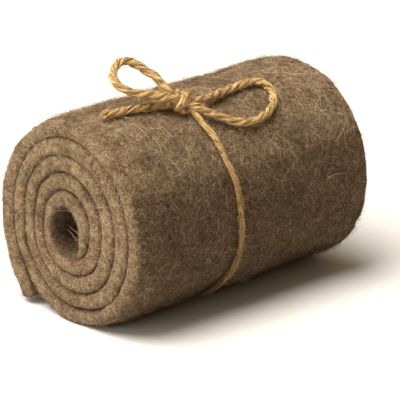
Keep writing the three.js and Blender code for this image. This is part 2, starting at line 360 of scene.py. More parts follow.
# %% [markdown]
# The strip, rolled up
#
# Rolling needs no simulation, because the spiral is known: a point that lies so far along the
# strip goes to the angle where the spiral's middle line has that length, and its depth in the
# strip becomes a place between the two seams. Small things make it soft: the free end hangs off
# the roll at its near corner, the twine pinches it, slow swells run over the outside, the outermost
# turn is worn round at the near end and flares a little at both, the cut ends wander from turn to
# turn, and their rounds are full in some places and pressed flat in others. The wear keeps to the
# outermost turn, because on the turns inside it would open a black gap along every seam.

# %% Tools for a soft surface
WAIST = dict(depth=0.0007, reach=0.008)
GROOVE = dict(above_underside=0.0003, slope=90.0, softness=0.0004)
WORN_EDGE = dict(width=0.010, drop=0.0027, mean=0.6, more_in_front=0.4, far_share=0.25)
FLARE = dict(near=0.0014, far=0.0022, reach=0.016)
FAR_FLARE_ANGLES = dict(begins=(95, 150), ends=(200, 250))
OUTSIDE_ENDS = (285, 302)
SWELL_CLEAR_OF_TWINE = 0.012
SWELLS = [dict(size=0.00035, along=0.017, round=2), dict(size=0.0002, along=0.009, round=-3)]


def ramp(value, start, end):
    """0 at start, 1 at end, smooth between."""
    t = np.clip((value - start) / (end - start), 0, 1)
    return t * t * (3 - 2 * t)


def soft_min(a, b, softness):
    """The smaller of two values, with a rounded change from one to the other."""
    return (a + b - np.sqrt((a - b) ** 2 + softness ** 2)) / 2


def lumps_at(points, lumps):
    """Height of the felt's lumps at points of space."""
    heights = np.zeros(len(points))
    for lump in lumps:
        scaled = (points / lump["pitch"]).tolist()
        heights += lump["size"] * np.array([noise.noise(place) for place in scaled])
    return heights


def flap_share(x):
    """How much of its lift the free end has: none at the twine, all of it at the near end."""
    middle = float(band_at(270.0)[1])
    near = np.clip((middle - FLAP["held_within"] - x) / (ROLL_WIDTH / 2 + middle - FLAP["held_within"]), 0, 1)
    far = np.clip((x - middle - FLAP["held_within"]) / (ROLL_WIDTH / 2 - middle - FLAP["held_within"]), 0, 1)
    return near ** 2 + FLAP["far_share"] * far ** 2


def outermost_at(angle):
    """1 where the outer side of the strip is the outside of the roll, 0 under another turn."""
    return 1 - ramp(angle, *OUTSIDE_ENDS)


def press_outside(angle, radius, x):
    """The outer surface as the twine, wear and swelling leave it."""
    twine_radius, twine_x = band_at(angle)
    off_twine = x - twine_x
    waist = WAIST["depth"] * np.exp(-(off_twine / WAIST["reach"]) ** 2)
    from_end = ROLL_WIDTH / 2 - np.abs(x)
    worn = WORN_EDGE["drop"] * np.clip(1 - from_end / WORN_EDGE["width"], 0, 1) ** 2
    worn = worn * (WORN_EDGE["mean"] - WORN_EDGE["more_in_front"] * np.cos(np.radians(angle)))
    worn = worn * np.where(x < 0, 1, WORN_EDGE["far_share"]) * outermost_at(angle)
    backward = np.clip(np.cos(np.radians(angle)), 0, 1)
    close_to_end = np.exp(-(from_end / FLARE["reach"]) ** 2)
    forward = ramp(angle, *FAR_FLARE_ANGLES["begins"]) * (1 - ramp(angle, *FAR_FLARE_ANGLES["ends"]))
    flared = close_to_end * np.where(x < 0, FLARE["near"] * backward ** 2, FLARE["far"] * forward)
    swell = sum(s["size"] * np.sin(x / s["along"] + np.radians(s["round"] * angle)) for s in SWELLS)
    swell = swell * (1 - np.exp(-(off_twine / SWELL_CLEAR_OF_TWINE) ** 2))
    free = radius - waist - worn + flared + swell
    groove_floor = twine_radius - TWINE_DIAMETER / 2 + GROOVE["above_underside"]
    return soft_min(free, groove_floor + GROOVE["slope"] * off_twine ** 2, GROOVE["softness"])


print("pinched by", WAIST["depth"], "m, worn by up to", WORN_EDGE["drop"], "m at the near edge")

# %% Roll the strip up
EDGE_WANDER = [dict(size=0.00022, per_turn=0.7), dict(size=0.00014, per_turn=1.3)]
EDGE_WANDER_REACH = 0.012
EDGE_FLATTENED = dict(mean=0.06, underneath=0.16, change=0.70, pitch=0.011, least=0.00, most=0.75)


def flattened_at(angle, radius, share, x):
    """How far the round of a cut end is pressed flat: unevenly, and not on the near outer corner."""
    unevenness = [dict(size=EDGE_FLATTENED["change"], pitch=EDGE_FLATTENED["pitch"])]
    downward = np.clip(-np.sin(np.radians(angle)), 0, 1)
    flattened = EDGE_FLATTENED["mean"] + EDGE_FLATTENED["underneath"] * downward
    flattened = flattened + lumps_at(place_round_roll(0.0, angle, radius), unevenness)
    flattened = np.clip(flattened, EDGE_FLATTENED["least"], EDGE_FLATTENED["most"])
    return flattened * (1 - outermost_at(angle) * ramp(share, 0.5, 1) * (x < 0))


def roll_up(flat):
    """Places in the roll for points of the flat strip, given as along, across and depth."""
    along, x, depth = flat.T
    angle = np.interp(along, middle_run, winding_angles)
    share = depth / FELT_THICKNESS + 0.5
    under = seam_radius(angle + FULL_TURN) + TURN_GAP / 2
    bent = np.where(angle < 0, (angle / FLAP["end_angle"]) ** 2, 0)
    inner = under + FLAP["lift"] * bent * flap_share(x)
    outer_angle = angle + FLAP["skew"] * bent
    flap_outer = inner + FELT_THICKNESS
    joined = ramp(angle, FLAP["joins_from"], 0)
    outer = flap_outer + (seam_radius(np.maximum(angle, 0)) - flap_outer) * joined
    shows = outermost_at(angle)
    pressed = press_outside(outer_angle, outer, x)
    outer = pressed * shows + np.minimum(outer - TURN_GAP / 2, pressed) * (1 - shows)
    thinned = ramp(angle, INNER_END["taper_from"], INNER_END["angle"])
    inner = inner + (outer - INNER_END["thinnest"] - inner) * thinned
    radius = inner + (outer - inner) * share
    wander = sum(w["size"] * np.sin(np.radians(angle * w["per_turn"])) for w in EDGE_WANDER)
    from_end = ROLL_WIDTH / 2 - np.abs(x)
    at_end = 1 - ramp(from_end, 0, EDGE_WANDER_REACH)
    outward = flattened_at(angle, radius, share, x) * np.minimum(from_end, EDGE_BEVEL)
    outward = outward * (1 - ramp(from_end, EDGE_BEVEL, EDGE_WANDER_REACH))
    x = x + wander * at_end + np.sign(x) * outward
    return place_round_roll(x, angle + (outer_angle - angle) * share, radius)


def rows_of(items, name):
    """A value in three parts of every item, such as each vertex's place, one row for each."""
    values = np.empty(len(items) * 3)
    items.foreach_get(name, values)
    return values.reshape(-1, 3)


strip_mesh = bpy.data.meshes.new("felt_strip")
strip.to_mesh(strip_mesh)
strip.free()
strip_flat = rows_of(strip_mesh.vertices, "co")
rolled = roll_up(strip_flat)
strip_mesh.vertices.foreach_set("co", rolled.ravel())
strip_mesh.update()
print("rolled from", rolled.min(axis=0).round(4), "to", rolled.max(axis=0).round(4))

# %% [markdown]
# A closed surface has its faces the right way round when its volume comes out positive. So the
# volume is measured and the faces are turned if it is negative. The normals are kept for the lumps.

# %% Turn the faces outwards
bm = bmesh.new()
bm.from_mesh(strip_mesh)
if bm.calc_volume(signed=True) < 0:
    bmesh.ops.reverse_faces(bm, faces=bm.faces[:])
bm.normal_update()
vertex_normals = np.array([vert.normal for vert in bm.verts])
print("felt volume", round(bm.calc_volume() * 1e6, 1), "cm3")
bm.to_mesh(strip_mesh)
bm.free()

# %% [markdown]
# Lumps on the felt
#
# Needled wool is never even, so every vertex moves by three sizes of noise. It moves along its
# normal, but where that points into the roll it is turned outwards: both sides of a seam then move
# together, where each along its own normal would tear the seam open. The lowest vertices are
# pressed back onto the floor, which leaves the flat spot that keeps the roll from rolling away.
# Sharp turns are marked, so that smooth shading doesn't darken the felt on either side of a seam.

# %% Raise the lumps
LUMPS = [dict(size=0.00045, pitch=0.0090), dict(size=0.00022, pitch=0.0034), dict(size=0.00014, pitch=0.0016)]
SHARP_TURN = math.radians(48)
FLOOR_CLEARANCE = 0.0001

from_centre = rolled - (0.0, WINDING_CENTRE_Y, WINDING_CENTRE_Z)
from_centre[:, 0] = 0.0
from_centre /= np.linalg.norm(from_centre, axis=1)[:, None]
facing_out = (vertex_normals * from_centre).sum(axis=1)[:, None]
lump_direction = vertex_normals + (np.abs(facing_out) - facing_out) * from_centre
rolled = rolled + lump_direction * lumps_at(rolled, LUMPS)[:, None]
rolled[:, 2] = np.maximum(rolled[:, 2], FLOOR_CLEARANCE)
strip_mesh.vertices.foreach_set("co", rolled.ravel())
for polygon in strip_mesh.polygons:
    polygon.use_smooth = True
strip_mesh.set_sharp_from_angle(angle=SHARP_TURN)
strip_mesh.update()
felt = add_object("felt_strip", strip_mesh)
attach(felt, "root")
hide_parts("felt_roll")
print("felt from", rolled.min(axis=0).round(4), "to", rolled.max(axis=0).round(4))

# %% [markdown]
# Twine: three plies laid round each other
#
# Jute twine is three yarns twisted together, and the twist is what the eye knows it by. Each ply
# is a flat bmesh grid wrapped into a tube: one side of the grid runs along the yarn and the other
# closes round it. The ply's own middle line winds round the cord's route as a helix. Wrapping a
# grid, instead of bevelling a curve, gives each ply a UV map in metres along and round the yarn,
# which the fibres of the material follow later. The lay is the length of one full twist, and it is
# negative here because this twine leans as the middle of an S does.

# %% Tools for laying twine
PLY_OFFSET = 0.00080
PLY_RADIUS = 0.00084
PLY_SIDES = 12
TWINE_STEP = 0.0005
TWINE_LAY = -0.0165
UNEVEN_TWIST = dict(size=0.5, pitch=0.006)
UNEVEN_OFFSET = dict(size=0.35, pitch=0.004)
UNEVEN_RADIUS = dict(size=0.30, pitch=0.005)
FRAYED = dict(reach=0.006, thinner=0.45)


def directions_along(line):
    """Unit directions along a line and two across it, carried along without twisting."""
    ahead = np.gradient(line, axis=0)
    ahead /= np.linalg.norm(ahead, axis=1)[:, None]
    across = np.empty_like(ahead)
    start = np.cross(ahead[0], (0.0, 0.0, 1.0))
    across[0] = start / np.linalg.norm(start)
    for index in range(1, len(line)):
        carried = across[index - 1] - ahead[index] * np.dot(across[index - 1], ahead[index])
        across[index] = carried / np.linalg.norm(carried)
    return ahead, across, np.cross(ahead, across)


def ply_line(line, turn, offset):
    """The middle of one ply: the line moved out by offset, at the angle turn round it."""
    _, across, upward = directions_along(line)
    moved = np.cos(turn)[:, None] * across + np.sin(turn)[:, None] * upward
    return line + moved * np.asarray(offset).reshape(-1, 1)


def add_strand(bm, line, radii, sides):
    """Wraps a grid round a line as a closed tube, with its UV map in metres."""
    uv_layer = bm.loops.layers.uv.get("yarn") or bm.loops.layers.uv.new("yarn")
    rows = len(line) - 1
    made = bmesh.ops.create_grid(bm, x_segments=rows, y_segments=sides, size=1.0)["verts"]
    ahead, across, upward = directions_along(line)
    run = run_along(line)
    for vert in made:
        row = round((vert.co.x + 1) / 2 * rows)
        share = (vert.co.y + 1) / 2
        turn = 2 * math.pi * share
        out = math.cos(turn) * across[row] + math.sin(turn) * upward[row]
        for loop in vert.link_loops:
            loop[uv_layer].uv = (run[row], share * 2 * math.pi * PLY_RADIUS)
        vert.co = line[row] + out * radii[row]
    bmesh.ops.remove_doubles(bm, verts=made, dist=1e-7)
    ends = [edge for edge in bm.edges if edge.is_boundary]
    bmesh.ops.holes_fill(bm, edges=ends, sides=sides)


def wavy(line, size, pitch, seed):
    """A slow uneven value along a line, between -size and size."""
    return size * np.array([noise.noise((seed * 7.3, *(point / pitch)[:2])) for point in line])


def lay_twine(bm, line, lay=TWINE_LAY, fray=0.0, thickness=1.0, closeness=1.0):
    """Adds the three plies of a length of twine, spread apart towards its end by fray."""
    run = run_along(line)
    near_end = np.clip(1 - (run[-1] - run) / FRAYED["reach"], 0, 1) ** 2
    for ply in range(3):
        turn = 2 * math.pi * (run / lay + ply / 3) + wavy(line, seed=ply + 1, **UNEVEN_TWIST)
        offset = PLY_OFFSET * thickness * closeness * (1 + wavy(line, seed=ply + 4, **UNEVEN_OFFSET))
        offset = offset * (1 + fray * near_end)
        radii = PLY_RADIUS * thickness * (1 + wavy(line, seed=ply + 8, **UNEVEN_RADIUS))
        radii = radii * (1 - FRAYED["thinner"] * fray * near_end)
        strand = spread_evenly(ply_line(line, turn, offset), TWINE_STEP)
        strand_radii = np.interp(np.linspace(0, 1, len(strand)), np.linspace(0, 1, len(line)), radii)
        add_strand(bm, strand, strand_radii, PLY_SIDES)


def finish_twine(bm, name, nodes):
    """Makes the object of a length of twine, standing for its solids."""
    bmesh.ops.recalc_face_normals(bm, faces=bm.faces[:])
    mesh = bpy.data.meshes.new(name)
    bm.to_mesh(mesh)
    bm.free()
    for polygon in mesh.polygons:
        polygon.use_smooth = True
    piece = add_object(name, mesh)
    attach(piece, "root")
    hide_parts(*nodes)
    print(name, len(mesh.polygons), "faces")
    return piece


print("three plies of", 2 * PLY_RADIUS, "m, one twist in", abs(TWINE_LAY), "m")

# %% [markdown]
# The band, the knot and the bow
#
# The twine goes once round the roll, is knotted over the top and ends in a bow. It is one length
# in reality; here it is cut inside the knot, where nobody sees it, so that each loop can be
# measured as the free cord that it is. The band is pulled tight, which opens the twist into nearly
# straight fibres, so its lay is several times longer than that of the slack loops. Its two ends are
# drawn on into the knot. The knot is one wrap of thick soft plies round all that goes through it,
# turned and leaned as the pull left it, with the short cut end standing out of its top.

# %% Lay the band and the knot
BAND_LAY = -0.060
KNOT_CENTRE = np.array([-0.0148, -0.0131, 0.0818])
KNOT_TURNED = math.radians(-40)
KNOT_LEAN = math.radians(33)
WRAP_RADIUS = 0.0023
WRAP_PITCH = 0.0026
WRAP_FROM = math.radians(-60)
WRAP_TO = math.radians(510)
WRAP_MIDDLE = math.radians(180)
WRAP_LAY = -0.030
STUB = dict(length=0.0050, start=0.0010, along=0.0012, back=0.25, up=0.97)
BAND_BEFORE = [(111.0, 0.0472, -0.0146), (114.0, 0.0466, -0.0132)]
BAND_AFTER = [(468.0, 0.0460, -0.0144), (470.5, 0.0470, -0.0148)]
KEPT_PLACES = 12

before = [place_round_roll(x, angle, radius) for angle, radius, x in BAND_BEFORE]
after = [place_round_roll(x, angle, radius) for angle, radius, x in BAND_AFTER]
drawn_band = smooth_line([*before, *band_line[::KEPT_PLACES], *after])
bm = bmesh.new()
lay_twine(bm, drawn_band, lay=BAND_LAY, thickness=0.90, closeness=0.75)
band = finish_twine(bm, "band", ["twine_band"])

knot_along = np.array([
    math.cos(KNOT_LEAN) * math.cos(KNOT_TURNED),
    math.cos(KNOT_LEAN) * math.sin(KNOT_TURNED),
    -math.sin(KNOT_LEAN),
])
knot_back = np.array([-math.sin(KNOT_TURNED), math.cos(KNOT_TURNED), 0.0])
knot_up = np.cross(knot_along, knot_back)
wrap_turns = np.linspace(WRAP_FROM, WRAP_TO, 120)
wrap_line = np.array([
    KNOT_CENTRE + WRAP_RADIUS * (math.cos(turn) * knot_back - math.sin(turn) * knot_up)
    + WRAP_PITCH * (turn - WRAP_MIDDLE) / (2 * math.pi) * knot_along
    for turn in wrap_turns
])
stub_ahead = STUB["back"] * knot_back + STUB["up"] * knot_up
stub_line = np.array([
    KNOT_CENTRE + knot_along * STUB["along"] + stub_ahead * reach
    for reach in np.linspace(STUB["start"], STUB["length"], 14)
])
bm = bmesh.new()
lay_twine(bm, spread_evenly(wrap_line, LINE_SPACING), lay=WRAP_LAY, thickness=1.5, closeness=0.85)
lay_twine(bm, spread_evenly(stub_line, LINE_SPACING), fray=0.2, thickness=0.5)
knot = finish_twine(bm, "knot", ["twine_knot"])

# %% [markdown]
# The bow's loops and the free end are laid as lengths of twine along their routes, and the length of
# each is printed. The loops' routes run on into the knot and meet inside it, because the real twine has no
# gap there.

# %% Lay the bow
LEFT_LOOP_IN_KNOT = dict(
    start=[(-0.0138, -0.0128, 0.0822), (-0.0166, -0.0112, 0.0836)],
    end=[(-0.0172, -0.0134, 0.0832), (-0.0142, -0.0136, 0.0822)])
RIGHT_LOOP_IN_KNOT = dict(
    start=[(-0.0152, -0.0128, 0.0820), (-0.0130, -0.0138, 0.0815)],
    end=[(-0.0126, -0.0160, 0.0806), (-0.0148, -0.0138, 0.0814)])
BOW_CLOSENESS = 0.95
BOW = [
    dict(
        name="left_loop", node="bow_loop_left", far_end="object", with_pieces=[knot], fray=0.0,
        thickness=1.08, route=[*LEFT_LOOP_IN_KNOT["start"], *LEFT_LOOP_ROUTE, *LEFT_LOOP_IN_KNOT["end"]]),
    dict(
        name="right_loop", node="bow_loop_right", far_end="object", with_pieces=[], fray=0.0,
        thickness=1.00, route=[*RIGHT_LOOP_IN_KNOT["start"], *RIGHT_LOOP_ROUTE, *RIGHT_LOOP_IN_KNOT["end"]]),
    dict(
        name="free_end", node="twine_end", far_end="bare", with_pieces=[], fray=0.30, thickness=1.06,
        route=FREE_END_ROUTE),
]
bow_pieces = {}
for part in BOW:
    line = smooth_line(part["route"])
    bm = bmesh.new()
    lay_twine(bm, line, fray=part["fray"], thickness=part["thickness"], closeness=BOW_CLOSENESS)
    piece = finish_twine(bm, part["name"], [part["node"]])
    bow_pieces[part["name"]] = piece
    print(part["name"], round(line_length(line), 4), "m long")

# %% [markdown]
# Fibres as a pattern
#
# Felt and jute have no weave. What the eye reads is fibres, lying in many directions in felt and
# all one way in a yarn. One node group draws fibres of one direction: noise is stretched along the
# fibre, bent a little by a slower noise, and cut to thin streaks. Every material places the group
# as often as it needs, with its own width, length and direction. A second group draws soft patches.

# %% Tools for node trees
def new_group(name, inputs, outputs):
    """A shader node group with named float or vector inputs and outputs."""
    group = bpy.data.node_groups.new(name, "ShaderNodeTree")
    for socket_name, kind, value in inputs:
        socket = group.interface.new_socket(socket_name, in_out="INPUT", socket_type=kind)
        if value is not None:
            socket.default_value = value
    for socket_name, kind in outputs:
        group.interface.new_socket(socket_name, in_out="OUTPUT", socket_type=kind)
    return group, group.nodes.new("NodeGroupInput"), group.nodes.new("NodeGroupOutput")


def add_node(tree, kind, settings=(), **inputs):
    """A node with its settings, and its inputs set to values or linked to other sockets.

    An input goes by its name, or by the letter i and its number where several share a name.
    """
    made = tree.nodes.new(kind)
    for name, value in dict(settings).items():
        setattr(made, name, value)
    for name, value in inputs.items():
        socket = made.inputs[int(name[1:])] if name[1:].isdigit() else made.inputs[name.replace("_", " ")]
        if isinstance(value, bpy.types.NodeSocket):
            tree.links.new(value, socket)
        else:
            socket.default_value = value
    return made


def math_of(tree, operation, *values, kind="ShaderNodeMath"):
    """The output of a math node on one to three values or sockets."""
    slots = {f"i{index}": value for index, value in enumerate(values)}
    return add_node(tree, kind, {"operation": operation}, **slots).outputs[0]


def vector_of(tree, operation, *values):
    """The output of a vector math node on vectors or sockets."""
    return math_of(tree, operation, *values, kind="ShaderNodeVectorMath")


FLOAT = "NodeSocketFloat"
VECTOR = "NodeSocketVector"
print("a group's inputs are of the kinds", FLOAT, "and", VECTOR)

# %% Node group for fibres of one direction
WANDER_SCALE = 0.11
WANDER_REACH = 20.0
STREAK_CUT = dict(highest=0.78, by_cover=0.4, softness=0.14)

strands, given, result = new_group(
    "fibre strands",
    [("Vector", VECTOR, None), ("Width", FLOAT, 0.0005), ("Slimness", FLOAT, 8.0),
     ("Angle", FLOAT, 0.0), ("Wander", FLOAT, 0.4), ("Cover", FLOAT, 0.5)],
    [("Strands", FLOAT)])
per_width = math_of(strands, "DIVIDE", 1.0, given.outputs["Width"])
scaled = add_node(strands, "ShaderNodeVectorMath", {"operation": "SCALE"},
                  i0=given.outputs["Vector"], Scale=per_width).outputs[0]
bend = add_node(strands, "ShaderNodeTexNoise", Vector=scaled, Scale=WANDER_SCALE, Detail=1.0).outputs["Color"]
bend = vector_of(strands, "SUBTRACT", bend, (0.5, 0.5, 0.5))
reach = math_of(strands, "MULTIPLY", given.outputs["Wander"], WANDER_REACH)
bend = add_node(strands, "ShaderNodeVectorMath", {"operation": "SCALE"}, i0=bend, Scale=reach).outputs[0]
turn = add_node(strands, "ShaderNodeCombineXYZ", Z=given.outputs["Angle"]).outputs[0]
turned = add_node(strands, "ShaderNodeMapping", Vector=vector_of(strands, "ADD", scaled, bend), Rotation=turn)
thin = add_node(strands, "ShaderNodeCombineXYZ", Y=1.0, Z=1.0,
                X=math_of(strands, "DIVIDE", 1.0, given.outputs["Slimness"])).outputs[0]
stretched = vector_of(strands, "MULTIPLY", turned.outputs[0], thin)
streaks = add_node(strands, "ShaderNodeTexNoise", Vector=stretched, Scale=1.0, Detail=1.5).outputs[0]
lower = math_of(strands, "MULTIPLY", given.outputs["Cover"], STREAK_CUT["by_cover"])
lowest = math_of(strands, "SUBTRACT", STREAK_CUT["highest"], lower)
highest = math_of(strands, "ADD", lowest, STREAK_CUT["softness"])
cut_streaks = add_node(strands, "ShaderNodeMapRange", {"interpolation_type": "SMOOTHSTEP"}, Value=streaks,
                       From_Min=lowest, From_Max=highest)
strands.links.new(cut_streaks.outputs[0], result.inputs["Strands"])
print("group:", strands.name, "with", len(strands.nodes), "nodes")

# %% Node group for mottling
mottle, given, result = new_group(
    "mottling",
    [("Vector", VECTOR, None), ("Size", FLOAT, 0.006), ("Low", FLOAT, 0.4), ("High", FLOAT, 0.6)],
    [("Patches", FLOAT)])
per_size = math_of(mottle, "DIVIDE", 1.0, given.outputs["Size"])
patches = add_node(mottle, "ShaderNodeTexNoise", Vector=given.outputs["Vector"], Scale=per_size,
                   Detail=2.0, Roughness=0.6).outputs[0]
patches = add_node(mottle, "ShaderNodeMapRange", {"interpolation_type": "SMOOTHSTEP"}, Value=patches,
                   From_Min=given.outputs["Low"], From_Max=given.outputs["High"])
mottle.links.new(patches.outputs[0], result.inputs["Patches"])
print("group:", mottle.name, "with", len(mottle.nodes), "nodes")

# %% Tools for materials
SPECULAR = 0.15


def set_attribute(mesh, name, values):
    """Gives every vertex of a mesh a value that materials can read."""
    mesh.attributes.new(name, "FLOAT", "POINT").data.foreach_set("value", values)


def place_group(tree, group, **inputs):
    """Places a node group in a tree and gives its output."""
    return add_node(tree, "ShaderNodeGroup", {"node_tree": group}, **inputs).outputs[0]


def mix_colours(tree, share, first, second):
    """Mixes two colours or colour sockets by a share."""
    return add_node(tree, "ShaderNodeMix", {"data_type": "RGBA"}, i0=share, i6=first, i7=second).outputs[2]


def new_look(name, roughness):
    """A material with its node tree and its Principled shader."""
    look = bpy.data.materials.new(name)
    look.use_nodes = True
    shader = look.node_tree.nodes["Principled BSDF"]
    shader.inputs["Roughness"].default_value = roughness
    shader.inputs["Specular IOR Level"].default_value = SPECULAR
    return look, look.node_tree, shader


def finish_look(tree, shader, colour, height, strength, distance):
    """Joins a colour and a relief to a material's shader."""
    tree.links.new(colour, shader.inputs["Base Color"])
    bump = add_node(tree, "ShaderNodeBump", Height=height, Strength=strength, Distance=distance)
    tree.links.new(bump.outputs[0], shader.inputs["Normal"])


print("materials shine at", SPECULAR)

# %% [markdown]
# The felt's finish
#
# Brown wool felt is a dark ground with paler fibres pressed into it. The pattern follows the strip
# itself: its UV map is the flat strip in metres, folded over the cut edge, so that fibres lie in
# the felt's plane on the skin and on the cut end alike. Patches of three sizes on Object
# coordinates darken it unevenly, across the seams too, because dirt and dye don't stop at a turn.
# Light and shade are partly painted in: a vertex attribute holds 1 on the cut ends and on the top
# of the roll, which face the lamps, and 0 low on its side, and the material is painted darker and
# plainer where it is 0, as painted shade.
# A little sheen stands for the finest fuzz, which nothing else here is small enough to show.

# %% Make the felt material
FELT_DARK = (0.033, 0.0163, 0.0060, 1)
FELT_GROUND = (0.152, 0.095, 0.046, 1)
FELT_PALE = (0.37, 0.255, 0.148, 1)
FELT_PATCHES = [
    dict(share=0.32, size=0.0085, low=0.40, high=0.62),
    dict(share=0.42, size=0.0022, low=0.40, high=0.58),
    dict(share=0.26, size=0.0009, low=0.30, high=0.70),
]
FELT_STRANDS = [
    dict(Angle=0.60, Width=0.00048, Cover=0.60), dict(Angle=1.35, Width=0.00042, Cover=0.58),
    dict(Angle=2.10, Width=0.00050, Cover=0.60), dict(Angle=2.85, Width=0.00044, Cover=0.56),
]
FELT_STRAND_SLIMNESS = 6.0
FELT_STRAND_WANDER = 0.25
LEAST_PATCHES = 0.28
STRANDS_SHOW = dict(least=0.30, in_patches=0.45)
FELT_RELIEF = 0.00035

felt_look, tree, shader = new_look("brown wool felt", 0.95)
shader.inputs["Sheen Weight"].default_value = 0.14
shader.inputs["Sheen Tint"].default_value = (1.0, 0.78, 0.55, 1)
shader.inputs["Sheen Roughness"].default_value = 0.6
on_strip = add_node(tree, "ShaderNodeUVMap", {"uv_map": "strip"}).outputs[0]
on_object = add_node(tree, "ShaderNodeTexCoord").outputs["Object"]
patchy = 0.0
for patch in FELT_PATCHES:
    patches = place_group(
        tree, mottle, Vector=on_object, Size=patch["size"], Low=patch["low"], High=patch["high"])
    patchy = math_of(tree, "ADD", patchy, math_of(tree, "MULTIPLY", patches, patch["share"]))
# Painted light and shade: patches and pale strands are toned down where the attribute is 0, on the roll's
# shaded side.
painted_light = add_node(tree, "ShaderNodeAttribute", {"attribute_name": "painted_light"}).outputs["Fac"]
painted_bright = math_of(tree, "MULTIPLY", painted_light, 1 - LEAST_PATCHES)
patchy = math_of(tree, "MULTIPLY", patchy, math_of(tree, "ADD", LEAST_PATCHES, painted_bright))
colour = mix_colours(tree, patchy, FELT_DARK, FELT_GROUND)
pale = None
for direction in FELT_STRANDS:
    lying = place_group(
        tree, strands, Vector=on_strip, Slimness=FELT_STRAND_SLIMNESS, Wander=FELT_STRAND_WANDER, **direction)
    pale = lying if pale is None else math_of(tree, "MAXIMUM", pale, lying)
shown = math_of(tree, "MULTIPLY", patchy, STRANDS_SHOW["in_patches"])
share = math_of(tree, "MULTIPLY", pale, math_of(tree, "ADD", STRANDS_SHOW["least"], shown))
colour = mix_colours(tree, share, colour, FELT_PALE)
finish_look(tree, shader, colour, height=pale, strength=0.7, distance=FELT_RELIEF)
print("felt material:", len(tree.nodes), "nodes")

# %% Lay the pattern on the strip
# Painted light: the felt is painted brighter high up and where it faces the lamps, darker on its shaded side.
PAINTED_LIGHT_HEIGHT = (0.055, 0.065)
PAINTED_LIGHT_FACING = (0.5, 0.9)


def painted_light_at(places, normals):
    """Painted light and shade: 1 on the cut ends and on top of the roll, which face the lamps, 0 low on its
    shaded side.
    """
    on_top = ramp(places[:, 2], *PAINTED_LIGHT_HEIGHT)
    on_end = ramp(np.abs(normals[:, 0]), *PAINTED_LIGHT_FACING)
    return np.maximum(on_top, on_end)


half_width = ROLL_WIDTH / 2
half_thickness = FELT_THICKNESS / 2
along, across, depth = strip_flat.T
sunk = half_thickness - depth
from_edge = half_width - np.abs(across)
folded = np.where(sunk < half_thickness, half_width - from_edge + sunk, half_width + from_edge + sunk)
strip_uv = np.stack([along, np.where(across < 0, -folded, folded)], axis=1)
corner_verts = np.empty(len(strip_mesh.loops), dtype=int)
strip_mesh.loops.foreach_get("vertex_index", corner_verts)
uv_layer = strip_mesh.uv_layers.new(name="strip")
uv_layer.data.foreach_set("uv", strip_uv[corner_verts].ravel())
# Painted light and shade, stored on every vertex of the strip.
strip_painted_light = painted_light_at(rolled, rows_of(strip_mesh.vertex_normals, "vector"))
set_attribute(strip_mesh, "painted_light", strip_painted_light)
strip_mesh.materials.append(felt_look)
print("share of the strip's vertices that is bleached:", round(float(strip_painted_light.mean()), 2))

# %% [markdown]
# Loose fibres on the felt
#
# A pattern alone leaves the outline as smooth as clay. Felt is known by its fuzz, so real fibres
# lie on it: tapered three-sided hairs, each bent once or more, a few millimetres long and thinner
# than a pixel. Thousands of objects would be slow, so arrays work out every hair at once and
# join them in one mesh. The hairs are sown on the faces of the finished strip by area, with a
# fixed seed, so that the same hairs grow on every run.

# %% Tools for sowing hairs
def sow(mesh, weight, count, rng):
    """Random places on a mesh by area and by a weight for each vertex, with their normals."""
    mesh.calc_loop_triangles()
    corners = np.empty(len(mesh.loop_triangles) * 3, dtype=int)
    mesh.loop_triangles.foreach_get("vertices", corners)
    corners = corners.reshape(-1, 3)
    places = rows_of(mesh.vertices, "co")
    normals = rows_of(mesh.vertex_normals, "vector")
    a, b, c = (places[corners[:, index]] for index in range(3))
    chance = np.linalg.norm(np.cross(b - a, c - a), axis=1) * weight[corners].mean(axis=1)
    picked = corners[rng.choice(len(corners), size=count, p=chance / chance.sum())]
    share = rng.dirichlet((1, 1, 1), size=count)[:, :, None]
    normal = (normals[picked] * share).sum(axis=1)
    normal /= np.linalg.norm(normal, axis=1)[:, None]
    return (places[picked] * share).sum(axis=1), normal


def unit(vectors):
    """Each vector at length 1."""
    return vectors / np.linalg.norm(vectors, axis=1)[:, None]


def random_heading(normals, rng):
    """A random direction in the surface at each place."""
    wild = rng.normal(size=normals.shape)
    return unit(wild - normals * (wild * normals).sum(axis=1)[:, None])


felt_area = sum(polygon.area for polygon in strip_mesh.polygons)
print("felt to sow on:", round(felt_area * 1e4), "cm2")

# %% Tools for growing hairs
HAIR_CORNERS = 3
HAIR_TAPER = 0.75
HAIR_BENDS_BACK = 0.45


def grow_hairs(roots, normals, heading, length, lift, curl, droop, points):
    """Middle lines of hairs: they head along the surface, rise, curl sideways and droop back."""
    side = np.cross(normals, heading)
    t = np.linspace(0, 1, points)[None, :, None]
    reach = length[:, None, None] * t
    rise = lift[:, None, None] * (t - HAIR_BENDS_BACK * t ** 2) - droop[:, None, None] * reach * t
    sideways = curl[:, None, None] * reach * t
    return (
        roots[:, None] + heading[:, None] * reach + side[:, None] * sideways
        + normals[:, None] * (length[:, None, None] * rise))


def hairs_on(mesh, weight, count, rng, length, lift, curl, points, droop=0.0, depth=0.0, most_curl=np.inf):
    """Roots, normals and middle lines of hairs on a mesh. Ranges are (least, most)."""
    roots, normals = sow(mesh, weight, count, rng)
    heading = random_heading(normals, rng)
    lengths = rng.uniform(*length, count)
    lifts = rng.uniform(0, 1, count) ** 2 * (lift[1] - lift[0]) + lift[0]
    curls = np.clip(rng.normal(0, curl, count), -most_curl, most_curl)
    lines = grow_hairs(
        roots - normals * depth, normals, heading, lengths, lifts, curls, np.full(count, droop), points)
    lines[:, :, 2] = np.maximum(lines[:, :, 2], FLOOR_CLEARANCE)
    return roots, normals, lines


